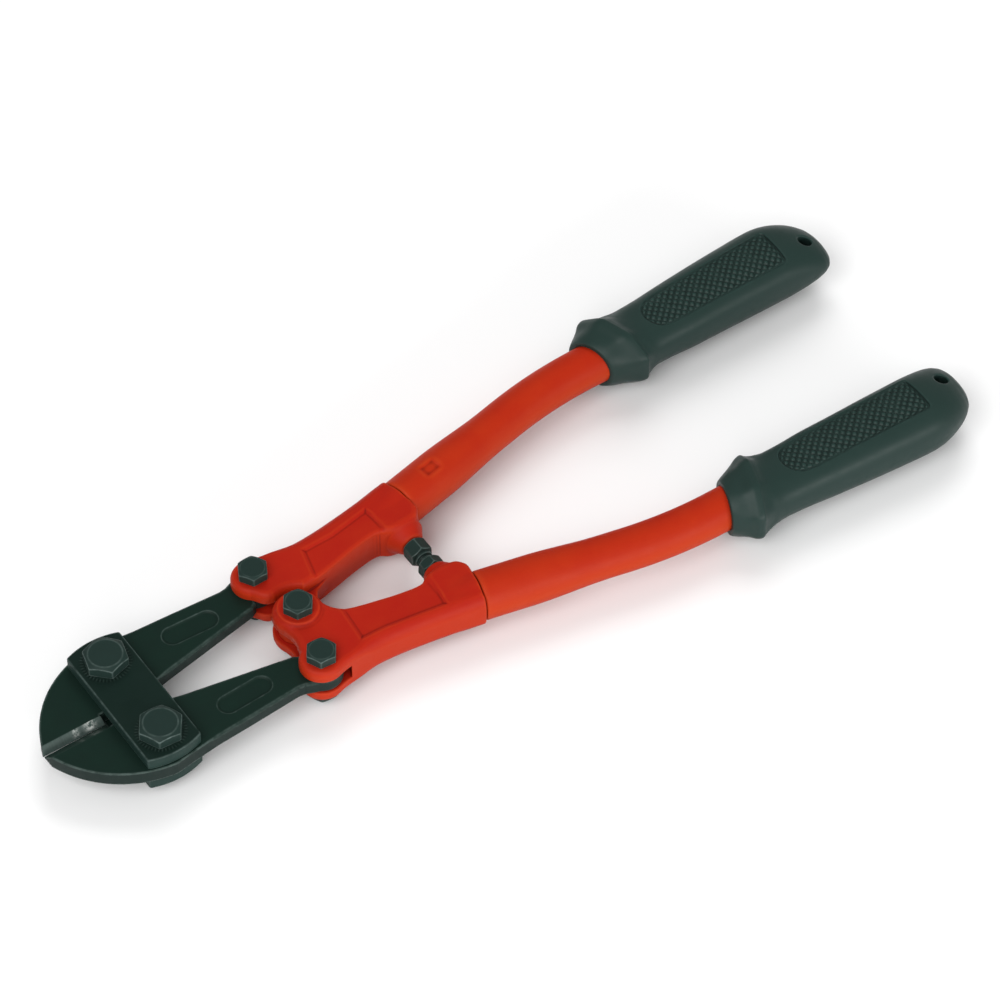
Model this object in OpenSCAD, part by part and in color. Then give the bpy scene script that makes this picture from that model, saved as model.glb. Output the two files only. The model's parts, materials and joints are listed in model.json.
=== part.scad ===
// Compound-lever bolt cutters, 350 mm class, lying flat and closed.
// The handles run along +X and the cutting head points along -X.
// The origin is under the middle of the tool, on the surface it lies on.

/* [Jaws] */
// Thickness of each forged jaw
jaw_t = 5.6; // [5:0.1:6.5]
// Distance between the two jaw pivots
jaw_pivot_gap = 35; // [34:0.5:36]
// Length of the cutting edges
cut_len = 24; // [18:1:24]
// Width of the right jaw's bevel along its cutting edge
bevel_right = 2.1; // [1.5:0.1:3]
// Width of the left jaw's bevel along its cutting edge
bevel_left = 3.4; // [1.5:0.1:4]
// Depth of the oblong recess in the top of each jaw
recess_depth = 0.6; // [0.3:0.1:1]

/* [Link plates] */
// Thickness of each link plate
plate_t = 4.75; // [4:0.25:5]
// Width of the link plates along the tool
plate_w = 20.7; // [18:0.1:21]
// Radius of the rounded plate ends
plate_end_r = 27.9; // [27:0.1:28.5]

/* [Fasteners] */
// Width across flats of the jaw bolts
jaw_bolt_af = 14; // [13:0.5:14]
// Shank diameter of the jaw bolts
jaw_bolt_d = 9; // [8:0.5:10]
// Width across flats of the three arm bolts
arm_bolt_af = 9.8; // [9:0.1:10]
// Shank diameter of the arm bolts
arm_bolt_d = 6; // [5:0.5:6]
// Width across flats of the stop screw and its lock nut
stop_af = 8; // [7:0.5:9]
// Shank diameter of the stop screw
stop_d = 5; // [4:0.5:5]

/* [Arm heads] */
// Thickness of the forged arm heads
arm_t = 15.6; // [14.5:0.1:16]
// Width of the slot that holds the jaw tail and the tongue
slot_w = 5.9; // [5.8:0.05:6.8]
// Radius of the fork ears
ear_r = 7.8; // [7.4:0.1:8]
// Radius of the left arm's knuckle around the centre bolt
lap_r = 9; // [8.6:0.1:9]
// Extra radius of the tongue's bore around the centre bolt
centre_play = 1.3; // [1.25:0.05:1.6]
// Depth of the pocket in both faces of each arm head
pocket_depth = 0.7; // [0.4:0.1:1]

/* [Handles] */
// Outer diameter of the tubes at the arm heads
tube_d = 17.4; // [16:0.2:17.6]
// Outer diameter of the tubes at the grips
tube_d_end = 15.3; // [14:0.1:15.3]
// Wall thickness of the tubes
tube_wall = 1.5; // [1:0.1:2]
// Angle that each grip's collar leans towards its tube
collar_lean = 18; // [12:1:19]
// Diameter of the hanging hole in each grip
hang_d = 5.2; // [4:0.1:6]

/* [Hidden] */
$fn = 64;
eps = 0.02;

// joint positions in plan, measured from the centre bolt
ax = -65.2;
ay = jaw_pivot_gap / 2;
cx = -4.5;
cy = 21.4;
stop_x = 50.6;

// stop screw, measured across the tool from the middle plane between the arms
stop_face = 6.7;
stop_tip = 21;
stop_head_y = 0.4;
stop_head_h = 6;
stop_nut_h = 3.9;
stop_r = 4.3;
stop_base_r = 7.7;
stop_flare = 4.4;

// heights above and below the middle plane
jaw_z = jaw_t / 2;
plate_z0 = jaw_z + 0.05;
plate_z1 = plate_z0 + plate_t;
arm_z = arm_t / 2;
slot_z = slot_w / 2;
boss_z = arm_z + 0.9;
low_z = 13;

// the frame's origin is at the middle of the length, on the surface
tip_x = -100.5;
end_x = 249.6;
shift = [-(tip_x + end_x) / 2, 0, low_z];

// running clearances around the bolts
run = 0.05;

// heights of heads and nuts, and how far shanks stand out of them
jaw_head_h = 4.4;
jaw_nut_h = 4.8;
head_h = 3.7;
nut_h = 3.2;
tip_out = 0.6;

// hexagon heads and nuts: radius of the flat face as a share of the width, and slope outside it
flat_share = 0.43;
chamfer = 28;

// handle tube: straight, then one bend, then straight inside the grip
tilt = 12.4;
seam_x = 57;
seam_y = 24.55;
bend_x0 = 110;
bend_x1 = 146;
bend_r = (bend_x1 - bend_x0) / sin(tilt);
bend_y0 = seam_y + (bend_x0 - seam_x) * tan(tilt);
grip_y = bend_y0 + bend_r * (1 - cos(tilt));
straight_len = (bend_x0 - seam_x) / cos(tilt);
tube_x1 = 232;
hang_x = 242.5;

// ---------- helpers ----------

// points along an arc, from angle a0 to a1
function arc(x, y, r, a0, a1, n) =
    [for (i = [0:n]) let (a = a0 + (a1 - a0) * i / n) [x + r * cos(a), y + r * sin(a)]];

function unit(v) = v / norm(v);

function reversed(p) = [for (i = [len(p) - 1:-1:0]) p[i]];

// the outline moved d towards its left-hand side
function inset(p, d) = let (n = len(p))
    [for (i = [0:n - 1])
        let (
            e0 = unit(p[i] - p[(i + n - 1) % n]),
            e1 = unit(p[(i + 1) % n] - p[i]),
            m = unit([-(e0[1] + e1[1]), e0[0] + e1[0]]),
            c = max(0.6, m * [-e1[1], e1[0]])
        ) p[i] + m * d / c];

// closed solid through rings of equal length, listed from low to high
module loft(rings) {
    n = len(rings[0]);
    m = len(rings);
    pts = [for (r = rings) each r];
    sides = [for (j = [0:m - 2]) for (i = [0:n - 1])
        let (k = (i + 1) % n)
        each [
            [j * n + i, (j + 1) * n + i, (j + 1) * n + k],
            [j * n + i, (j + 1) * n + k, j * n + k]
        ]];
    low = [for (i = [0:n - 1]) i];
    high = [for (i = [n - 1:-1:0]) (m - 1) * n + i];
    polyhedron(points = pts, faces = concat(sides, [low, high]), convexity = 8);
}

// hexagon head or nut body with its corners chamfered on the far face
module hex_body(af, h) {
    corner = af / cos(30) / 2;
    flat = af * flat_share;
    drop = (corner - flat) * tan(chamfer);
    intersection() {
        cylinder(r = corner, h = h, $fn = 6);
        rotate_extrude()
            polygon([[0, 0], [corner + 1, 0], [corner + 1, h - drop - tan(chamfer)], [flat, h], [0, h]]);
    }
}

module hex_bolt(af, head_h, shank_d, z_head, z_tip, turn) {
    translate([0, 0, z_head]) rotate(turn) hex_body(af, head_h);
    translate([0, 0, z_tip + 0.6]) cylinder(d = shank_d, h = z_head - z_tip);
    translate([0, 0, z_tip]) cylinder(d1 = shank_d - 1.2, d2 = shank_d, h = 0.6);
}

module hex_nut(af, h, shank_d, z_top, turn) {
    difference() {
        translate([0, 0, z_top]) mirror([0, 0, 1]) rotate(turn) hex_body(af, h);
        translate([0, 0, z_top - h - 1]) cylinder(d = shank_d + 2 * eps, h = h + 2);
    }
}

module on_right() {
    translate(shift) children();
}

module on_left() {
    translate(shift) mirror([0, 1, 0]) children();
}

// ---------- link plates ----------

module link_plate() {
    difference() {
        intersection() {
            translate([ax - plate_w / 2, -40, plate_z0]) cube([plate_w, 80, plate_t]);
            translate([ax, 0, plate_z0 - 1]) cylinder(r = plate_end_r, h = plate_t + 2, $fn = 128);
        }
        for (s = [-1, 1])
            translate([ax, s * ay, 0]) cylinder(d = jaw_bolt_d + 2 * eps, h = 20);
    }
}

module link_plate_top() {
    color("#39413f") translate(shift) link_plate();
}

module link_plate_bottom() {
    color("#39413f") translate(shift) mirror([0, 0, 1]) link_plate();
}

module jaw_bolt(turn) {
    color("#4b5553") translate([ax, ay, 0])
        hex_bolt(jaw_bolt_af, jaw_head_h, jaw_bolt_d, plate_z1, -low_z, turn);
}

module jaw_bolt_right() {
    on_right() jaw_bolt(15.7);
}

module jaw_bolt_left() {
    on_left() jaw_bolt(4.3);
}

module jaw_nut() {
    color("#4b5553") translate([ax, ay, 0])
        hex_nut(jaw_bolt_af, jaw_nut_h, jaw_bolt_d, -plate_z1, 10);
}

module jaw_nut_right() {
    on_right() jaw_nut();
}

module jaw_nut_left() {
    on_left() jaw_nut();
}

// ---------- jaws ----------

// right jaw seen from above: cutting head, link part and tail with its eye
jaw_gap = 0.15;
eye_r = 7.2;
head_r = 40.2;
jaw_outline = concat(
    [[tip_x, jaw_gap]],
    arc(-61.8, -11, head_r, 161, 96, 16),
    [[-60, 28.1], [-54, 27.4], [-16, 25.1], [-13.6, 25.4], [-11.4, 26.2]],
    arc(cx, cy, eye_r, 128, -118, 24),
    [[-8.6, 13.5], [-10.5, 12.4], [-54.7, 4.3], [-60, 3.3], [-72, 3]],
    [[tip_x + cut_len - 0.6, 3], [tip_x + cut_len, jaw_gap]]
);

module jaw(bevel) {
    color("#414a48") difference() {
        linear_extrude(jaw_t, center = true) polygon(jaw_outline);
        translate([ax, ay, -10]) cylinder(d = jaw_bolt_d + 2 * run, h = 20);
        translate([cx, cy, -10]) cylinder(d = arm_bolt_d + 2 * run, h = 20);
        for (side = [0, 1]) mirror([0, 0, side])
            translate([tip_x - 1, 0, 0]) rotate([90, 0, 90])
                linear_extrude(cut_len + 1.4)
                    polygon([[-1, 0.15], [jaw_gap, 0.15], [bevel, jaw_z], [bevel, 4], [-1, 4]]);
        translate([-32.5, 17.3, jaw_z - recess_depth]) rotate(-3) {
            translate([-6.6, -4, 0]) cube([13.2, 8, 3]);
            for (s = [-1, 1]) translate([s * 6.6, 0, 0]) cylinder(r = 4, h = 3);
        }
    }
}

module jaw_right() {
    on_right() jaw(bevel_right);
}

module jaw_left() {
    on_left() jaw(bevel_left);
}

// ---------- arm heads ----------

// shared outline, walked clockwise from the ear's front round to the tube end
ear_side = concat(
    arc(cx, cy, ear_r, -125, -285, 14),
    [[1, 27.9], [6, 27.3], [14, 27.1], [22, 27.6], [30, 28.6], [38, 29.9], [46, 31.4], [52.2, 32.2]]
);
inner_side = [
    [57.4, 15.4], [56.6, 12.9], [54.6, 11.2], [46.2, 10.9], [43.2, 12.1], [40.6, 13.9],
    [31, 12.4], [25.5, 11.1], [19.5, 9.7]
];
relief_r = lap_r + centre_play + 0.2;
tongue_r = 7.2;
fork_r = 10;
boss_r = 7.2;

// the right arm stops short of the left arm's knuckle
right_outline = concat(ear_side, inner_side, [[14.5, 8.4], [11.2, 8.2]],
    arc(0, 0, relief_r, 46, 109, 7), [[-6.4, 10.8]]);

// the left arm carries the knuckle with the centre bolt
left_outline = concat(ear_side, inner_side, [[13.4, 8], [11.2, 6], [9.2, 3.4]],
    arc(0, 0, lap_r, 8, -206, 22), [[-7.2, 9], [-8.2, 13]]);

// forged side walls: height above the middle plane and inset of the outline; the first is trimmed off
edge_steps = [[arm_z + 0.3, 2.85], [arm_z - 0.6, 1.2], [arm_z - 1.8, 0.4], [arm_z - 3.4, 0]];

function at_z(p, z) = [for (q = p) [q[0], q[1], z]];

function wall_ring(p, h, d) = at_z(inset(p, d), h);

// one forged body with a shallow pocket in both faces, open towards the inner side
module forged_body(outline, pocket) {
    p = reversed(outline);
    difference() {
        loft(concat(
            [for (s = edge_steps) wall_ring(p, -s[0], s[1])],
            [for (s = reversed(edge_steps)) wall_ring(p, s[0], s[1])]
        ));
        for (side = [0, 1]) mirror([0, 0, side]) {
            translate([-30, -20, arm_z]) cube([110, 60, 3]);
            translate([0, 0, arm_z - pocket_depth]) linear_extrude(3) polygon(pocket);
        }
    }
}

module along_tube() {
    translate([seam_x, seam_y, 0]) rotate([0, 90, tilt]) children();
}

right_pocket = [[10.5, 4], [16.8, 20.6], [30, 21.2], [41.5, 23], [43.2, 16], [43.2, 4]];
left_pocket = [[12, 4], [10.3, 22.6], [20, 23.4], [30, 24.7], [42.3, 26.4], [44.4, 14.6], [44.4, 4]];

// boss that faces the other arm across the stop screw
module stop_boss() {
    translate([stop_x, stop_face, 0]) rotate([-90, 0, 0]) {
        cylinder(r1 = stop_r, r2 = stop_base_r, h = stop_flare);
        translate([0, 0, stop_flare]) cylinder(r = stop_base_r, h = 8);
    }
}

module tube_socket() {
    along_tube() translate([0, 0, -9]) cylinder(d = tube_d, h = 9);
    along_tube() cylinder(d = tube_d - 2 * tube_wall - 0.1, h = 14);
}

module fork_slot() {
    translate([cx, cy, -slot_z]) cylinder(r = fork_r, h = slot_w, $fn = 96);
    translate([cx - 30, 8.2, -slot_z]) cube([32, 40, slot_w]);
}

module arm_bore(x, y, play) {
    translate([x, y, -20]) cylinder(d = arm_bolt_d + 2 * play, h = 40);
}

// tongue that reaches between the left arm's two knuckle walls
module tongue() {
    linear_extrude(jaw_t, center = true) {
        circle(r = tongue_r);
        polygon([[-4, 6], [7.2, -0.8], [12, 6.6], [20, 10.5], [18, 18], [9.2, 16]]);
    }
}

module arm_head_right() {
    on_right() color("#b5301d") difference() {
        union() {
            difference() {
                union() {
                    forged_body(right_outline, right_pocket);
                    tube_socket();
                    stop_boss();
                }
                fork_slot();
            }
            tongue();
        }
        arm_bore(cx, cy, eps);
        arm_bore(0, 0, centre_play);
    }
}

module arm_head_left() {
    on_left() color("#b5301d") difference() {
        union() {
            forged_body(left_outline, left_pocket);
            translate([0, 0, -boss_z]) cylinder(r = boss_r, h = 2 * boss_z);
            tube_socket();
            stop_boss();
        }
        fork_slot();
        // room for the tongue around the centre bolt
        translate([0, 0, -slot_z]) cylinder(r = tongue_r + centre_play + 0.6, h = slot_w);
        translate([-30, -30, -slot_z]) cube([60, 33, slot_w]);
        translate([-30, -1, -slot_z]) cube([32, 12, slot_w]);
        arm_bore(cx, cy, eps);
        arm_bore(0, 0, eps);
        translate([stop_x, 0, 0]) rotate([-90, 0, 0]) cylinder(d = stop_d + 2 * eps, h = stop_tip + 0.5);
    }
}

// ---------- arm bolts ----------

module tail_bolt(turn) {
    color("#56615f") translate([cx, cy, 0])
        hex_bolt(arm_bolt_af, head_h, arm_bolt_d, arm_z, -arm_z - nut_h - tip_out, turn);
}

module tail_bolt_right() {
    on_right() tail_bolt(2);
}

module tail_bolt_left() {
    on_left() tail_bolt(4.3);
}

module tail_nut() {
    color("#56615f") translate([cx, cy, 0]) hex_nut(arm_bolt_af, nut_h, arm_bolt_d, -arm_z, 4.3);
}

module tail_nut_right() {
    on_right() tail_nut();
}

module tail_nut_left() {
    on_left() tail_nut();
}

module center_bolt() {
    color("#56615f") translate(shift)
        hex_bolt(arm_bolt_af, head_h, arm_bolt_d, boss_z, -boss_z - nut_h - tip_out, -4.3);
}

module center_nut() {
    color("#56615f") translate(shift) hex_nut(arm_bolt_af, nut_h, arm_bolt_d, -boss_z, -4.3);
}

// ---------- stop screw ----------

module stop_screw() {
    color("#56615f") translate(shift) translate([stop_x, 0, 0]) rotate([-90, 0, 0]) {
        translate([0, 0, stop_head_y]) rotate(30) hex_body(stop_af, stop_head_h);
        translate([0, 0, -stop_tip]) cylinder(d = stop_d, h = stop_tip + stop_head_y + 1);
    }
}

module stop_lock_nut() {
    color("#4b5553") translate(shift) translate([stop_x, 0, 0]) rotate([-90, 0, 0])
        difference() {
            translate([0, 0, -stop_face]) rotate(24) hex_body(stop_af, stop_nut_h);
            translate([0, 0, -stop_face - 1]) cylinder(d = stop_d + 2 * eps, h = stop_nut_h + 2);
        }
}

// ---------- handles ----------

cone_s0 = 18;
cone_s1 = 46;
bend_lap = 0.5;
mark_r = 6;
mark_depth = 0.7;

// the bend is a hair thicker than the straights, which run a little way into it
module tube_solid(grow, ext) {
    along_tube() {
        translate([0, 0, -ext]) cylinder(d = tube_d + 2 * grow, h = cone_s0 + ext);
        translate([0, 0, cone_s0])
            cylinder(d1 = tube_d + 2 * grow, d2 = tube_d_end + 2 * grow, h = cone_s1 - cone_s0);
        translate([0, 0, cone_s1])
            cylinder(d = tube_d_end + 2 * grow, h = straight_len - cone_s1 + bend_lap);
    }
    translate([bend_x1, grip_y - bend_r, 0]) rotate(90) rotate_extrude(angle = tilt)
        translate([bend_r, 0]) circle(d = tube_d_end + 2 * grow + 0.06);
    translate([bend_x1 - bend_lap, grip_y, 0]) rotate([0, 90, 0])
        cylinder(d = tube_d_end + 2 * grow, h = tube_x1 - bend_x1 + bend_lap + ext);
}

module handle_tube() {
    color("#c23a22") difference() {
        tube_solid(0, 0);
        tube_solid(-tube_wall, 1);
        along_tube() translate([-tube_d / 2 - mark_r + mark_depth, -1, 14.5]) sphere(r = mark_r);
    }
}

module handle_tube_right() {
    on_right() handle_tube();
}

module handle_tube_left() {
    on_left() mirror([0, 0, 1]) handle_tube();
}

// grip stations: position, middle, half width, half height, squareness
grip_rows = [
    [147.5, 40.2, 9.4, 9.4, 2], [149, 40.3, 10.2, 10.1, 2], [154, 40.7, 12.6, 11.6, 2.1],
    [158, 41, 14.4, 12.9, 2.3], [159.6, 41.1, 14.8, 13, 2.4], [161, 41.2, 14, 12.4, 2.3],
    [163.5, 41.2, 12.6, 10.6, 2.2], [166.5, 41.3, 12.1, 9.8, 2.2], [170, 41.4, 12.1, 9.5, 2.3],
    [176, 41.6, 12.4, 9.5, 2.4], [188, 42.1, 13, 9.9, 2.5], [200, 42.7, 13.4, 10.4, 2.5],
    [214, 43.2, 13.9, 10.8, 2.5], [228, 43.6, 14.2, 11, 2.5], [234, 43.3, 14, 10.5, 2.4],
    [239, 42.6, 13.4, 9.2, 2.3], [243, 41.8, 12.4, 7.6, 2.2], [246, 41.1, 10.9, 5.9, 2.1],
    [248.2, 40.6, 8.6, 4.2, 2], [249.2, 40.3, 6, 2.7, 2], [end_x, 40.2, 3, 1.2, 2]
];

function sgn_pow(v, e) = sign(v) * pow(abs(v), e);

// the collar leans towards the tube's first straight, and the lean fades along the grip
function lean_at(x) = tan(collar_lean) * (1 - min(1, max(0, (x - 161) / 27)));

function grip_ring(r) = [for (i = [0:35])
    let (
        t = i * 10,
        side = r[2] * sgn_pow(cos(t), 2 / r[4])
    ) [r[0] - side * lean_at(r[0]), r[1] + side, r[3] * sgn_pow(sin(t), 2 / r[4])]];

module grip() {
    color("#33413f") difference() {
        loft([for (r = grip_rows) grip_ring(r)]);
        translate([140, grip_y, 0]) rotate([0, 90, 0])
            cylinder(d = tube_d_end + 0.1, h = tube_x1 - 140 + 0.2);
        translate([hang_x, grip_y, -20]) cylinder(d = hang_d, h = 40);
    }
}

module grip_right() {
    on_right() grip();
}

module grip_left() {
    on_left() grip();
}

link_plate_top();
link_plate_bottom();
jaw_bolt_right();
jaw_bolt_left();
jaw_nut_right();
jaw_nut_left();
jaw_right();
jaw_left();
arm_head_right();
arm_head_left();
tail_bolt_right();
tail_bolt_left();
tail_nut_right();
tail_nut_left();
center_bolt();
center_nut();
handle_tube_right();
handle_tube_left();
grip_right();
grip_left();
stop_screw();
stop_lock_nut();
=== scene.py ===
import json
import math

import bpy
import numpy as np
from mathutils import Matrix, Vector


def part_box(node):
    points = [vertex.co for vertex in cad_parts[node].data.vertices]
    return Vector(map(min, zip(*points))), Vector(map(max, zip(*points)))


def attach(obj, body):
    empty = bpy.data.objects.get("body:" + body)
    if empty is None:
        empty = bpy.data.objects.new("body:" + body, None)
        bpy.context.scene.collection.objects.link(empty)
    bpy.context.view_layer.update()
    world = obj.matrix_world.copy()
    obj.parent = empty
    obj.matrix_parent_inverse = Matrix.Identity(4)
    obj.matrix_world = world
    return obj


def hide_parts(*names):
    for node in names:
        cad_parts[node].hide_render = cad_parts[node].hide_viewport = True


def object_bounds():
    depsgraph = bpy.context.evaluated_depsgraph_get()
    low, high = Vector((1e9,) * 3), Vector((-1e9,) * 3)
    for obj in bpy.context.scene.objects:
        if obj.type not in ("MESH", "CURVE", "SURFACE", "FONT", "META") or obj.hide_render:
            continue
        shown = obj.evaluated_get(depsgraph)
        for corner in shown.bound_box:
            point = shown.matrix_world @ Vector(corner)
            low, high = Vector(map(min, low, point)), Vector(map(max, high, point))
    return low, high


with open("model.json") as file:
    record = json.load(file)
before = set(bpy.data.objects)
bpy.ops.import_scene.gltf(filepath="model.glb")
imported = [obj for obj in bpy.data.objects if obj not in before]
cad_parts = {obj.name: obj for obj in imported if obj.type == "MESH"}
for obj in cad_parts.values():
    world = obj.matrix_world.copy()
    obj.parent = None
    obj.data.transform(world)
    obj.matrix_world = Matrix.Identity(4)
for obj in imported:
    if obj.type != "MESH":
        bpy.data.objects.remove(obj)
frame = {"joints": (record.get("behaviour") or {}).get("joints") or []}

CAD_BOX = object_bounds()
MM = 0.001

# ---------- places, read from the frame ----------
# Shapes are worked out in millimetres from the centre bolt, on the tool's middle plane.
# Both arms share one outline: the left-hand parts are the right-hand ones with y turned over.
PIVOTS = {j["name"]: Vector(j["pos_m"]) / MM for j in frame["joints"]}


def middle(node):
    low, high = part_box(node)
    return (low + high) / 2 / MM


CENTER = middle("center_bolt")
CENTER.y = 0
CENTER.z = PIVOTS["arm_right_pivot"].z
JAW_PIVOT = PIVOTS["jaw_right_pivot"] - CENTER
TAIL_PIVOT = PIVOTS["arm_right_pivot"] - CENTER
AX, AY = JAW_PIVOT.x, JAW_PIVOT.y
CX, CY = TAIL_PIVOT.x, TAIL_PIVOT.y


def span(node, axis):
    """A node's lowest and highest place along an axis, in mm from the centre bolt."""
    low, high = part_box(node)
    return low[axis] / MM - CENTER[axis], high[axis] / MM - CENTER[axis]


JAW_Z = span("jaw_right", 2)[1]
TIP_X = span("jaw_right", 0)[0]
PLATE_Z0, PLATE_Z1 = span("link_plate_top", 2)
PLATE_X0, PLATE_X1 = span("link_plate_top", 0)
ARM_Z = 7.8
BOSS_Z = 8.7
SLOT_Z = 2.95
END_X = span("grip_right", 0)[1]
STOP_X = middle("stop_screw").x - CENTER.x
STOP_FACE = -span("stop_lock_nut", 1)[0]

# handle tube: straight at an angle, one bend, then straight inside the grip
TILT = math.radians(12.4)
SEAM_X, SEAM_Y = 57.0, 24.55
BEND_X0, BEND_X1 = 110.0, 146.0
BEND_R = (BEND_X1 - BEND_X0) / math.sin(TILT)
GRIP_Y = SEAM_Y + (BEND_X0 - SEAM_X) * math.tan(TILT) + BEND_R * (1 - math.cos(TILT))
TUBE_R, TUBE_R_END, TUBE_WALL = 8.7, 7.65, 1.5
TUBE_X1 = 232.0

# hexagons across flats, shank radii, and the play around a shank
JAW_BOLT_AF, ARM_BOLT_AF, STOP_AF = 14, 9.8, 8
JAW_BOLT_R, ARM_BOLT_R, STOP_R = 4.5, 3.0, 2.5
PLAY = 0.02
PLAY_JAW = 0.05
TONGUE_BORE_R = 4.3
HEAD_HEIGHT = 3.7
HANG_R = 2.6


# ---------- fields: distance-like functions, negative inside ----------
def join(a, b, k=0.0):
    """Union of two fields, with a fillet of about k."""
    if k <= 0:
        return np.minimum(a, b)
    h = np.clip(0.5 + 0.5 * (b - a) / k, 0, 1)
    return b * (1 - h) + a * h - k * h * (1 - h)


def common(a, b, k=0.0):
    return -join(-a, -b, k)


def cut(a, b, k=0.0):
    """a with b taken away."""
    return -join(-a, b, k)


def ramp(low, high, t):
    s = np.clip((t - low) / (high - low), 0, 1)
    return s * s * (3 - 2 * s)


def arc(x, y, r, a0, a1, n):
    angles = np.radians(np.linspace(a0, a1, n + 1))
    return [(x + r * math.cos(a), y + r * math.sin(a)) for a in angles]


def soften(points):
    """Cuts the corners of a closed outline twice, so that it runs in a smooth curve."""
    p = np.array(points, float)
    for _ in range(2):
        q = np.roll(p, -1, axis=0)
        p = np.stack([p * 0.75 + q * 0.25, p * 0.25 + q * 0.75], 1).reshape(-1, 2)
    return p


def outline(points):
    """Signed distance to a closed outline, as a function of x and y."""
    a = np.array(points, float)
    b = np.roll(a, -1, axis=0)

    def distance(x, y):
        x, y = np.broadcast_arrays(x, y)
        best = np.full(x.shape, 1e9)
        inside = np.zeros(x.shape, bool)
        for (px, py), (qx, qy) in zip(a, b):
            ex, ey = qx - px, qy - py
            wx, wy = x - px, y - py
            t = np.clip((wx * ex + wy * ey) / (ex * ex + ey * ey), 0, 1)
            best = np.minimum(best, (wx - ex * t) ** 2 + (wy - ey * t) ** 2)
            if ey:
                inside ^= ((py > y) != (qy > y)) & (wx < ex * wy / ey)
        return np.where(inside, -1, 1) * np.sqrt(best)

    return distance


def slab(flat, rise, r):
    """Solid from a plan distance and a height distance, with edges rounded to r."""
    u, v = flat + r, rise + r
    return np.minimum(np.maximum(u, v), 0) + np.hypot(np.maximum(u, 0), np.maximum(v, 0)) - r


def hexagon(u, v, across, turn, k=0.3):
    """Distance to a hexagonal bar, given its width across flats."""
    d = None
    for i in range(3):
        a = math.radians(turn + 30 + 60 * i)
        flat = np.abs(u * math.cos(a) + v * math.sin(a)) - across / 2
        d = flat if d is None else common(d, flat, k)
    return d


def curve(points):
    """Smooth function through (x, value) points."""
    xs, ys = np.array(points, float).T
    slope = np.gradient(ys, xs)
    secant = np.diff(ys) / np.diff(xs)
    for i, s in enumerate(secant):
        for j in (i, i + 1):
            if s * slope[j] <= 0:
                slope[j] = 0
            else:
                slope[j] = math.copysign(min(abs(slope[j]), 3 * abs(s)), s)

    def value(x):
        x = np.clip(x, xs[0], xs[-1])
        i = np.clip(np.searchsorted(xs, x, side="right") - 1, 0, len(xs) - 2)
        w = xs[i + 1] - xs[i]
        t = (x - xs[i]) / w
        return (
            (2 * t**3 - 3 * t**2 + 1) * ys[i]
            + (t**3 - 2 * t**2 + t) * w * slope[i]
            + (3 * t**2 - 2 * t**3) * ys[i + 1]
            + (t**3 - t**2) * w * slope[i + 1]
        )

    return value


# ---------- from field to mesh ----------
CORNERS = np.array([(i, j, k) for i in (0, 1) for j in (0, 1) for k in (0, 1)])
EDGES = [(p, q) for p in range(8) for q in range(p + 1, 8)
         if np.abs(CORNERS[p] - CORNERS[q]).sum() == 1]


def net(field, low, high, step):
    """Vertices and quads of the surface where field is zero."""
    axes = [np.arange(a - 2 * step, b + 2.5 * step, step) for a, b in zip(low, high)]
    x, y, z = axes[0][:, None, None], axes[1][None, :, None], axes[2][None, None, :]
    shape = tuple(len(a) for a in axes)
    f = np.array(np.broadcast_to(field(x, y, z), shape), np.float32)
    inside = f < 0
    count = sum(inside[i:shape[0] - 1 + i, j:shape[1] - 1 + j, k:shape[2] - 1 + k].astype(np.int8)
                for i, j, k in CORNERS)
    cells = (count > 0) & (count < 8)
    ids = np.argwhere(cells)
    index = np.full(cells.shape, -1, np.int64)
    index[cells] = np.arange(len(ids))
    value = np.stack([f[tuple((ids + c).T)] for c in CORNERS], 1)
    total = np.zeros((len(ids), 3))
    hits = np.zeros(len(ids))
    for p, q in EDGES:
        a, b = value[:, p], value[:, q]
        crossed = (a < 0) != (b < 0)
        t = np.where(crossed, a / np.where(crossed, a - b, 1), 0)
        at = CORNERS[p] + t[:, None] * (CORNERS[q] - CORNERS[p])
        total += np.where(crossed[:, None], at, 0)
        hits += crossed
    places = (ids + total / hits[:, None]) * step + [a[0] for a in axes]
    quads = []
    for d in range(3):
        u, v = (d + 1) % 3, (d + 2) % 3
        here = [slice(None)] * 3
        here[u] = here[v] = slice(1, -1)
        low_side, high_side = list(here), list(here)
        low_side[d], high_side[d] = slice(None, -1), slice(1, None)
        a, b = inside[tuple(low_side)], inside[tuple(high_side)]
        at = np.argwhere(a != b)
        outward = a[tuple(at.T)]
        at[:, u] += 1
        at[:, v] += 1
        ring = []
        for du, dv in ((-1, -1), (0, -1), (0, 0), (-1, 0)):
            c = at.copy()
            c[:, u] += du
            c[:, v] += dv
            ring.append(index[tuple(c.T)])
        ring = np.stack(ring, 1)
        ring[~outward] = ring[~outward][:, ::-1]
        quads.append(ring)
    return settle(field, places, step), np.concatenate(quads)


def slope_of(field, p):
    e = 0.01
    f = field(*p.T)
    g = np.stack([field(*(p + e * d).T) - f for d in np.eye(3)], 1) / e
    return f, g, (g * g).sum(1) + 1e-9


def settle(field, p, step):
    """Moves points onto the field's zero surface."""
    for _ in range(2):
        f, g, size = slope_of(field, p)
        p = p - np.clip(g * (f / size)[:, None], -step / 2, step / 2)
    return p


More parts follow.
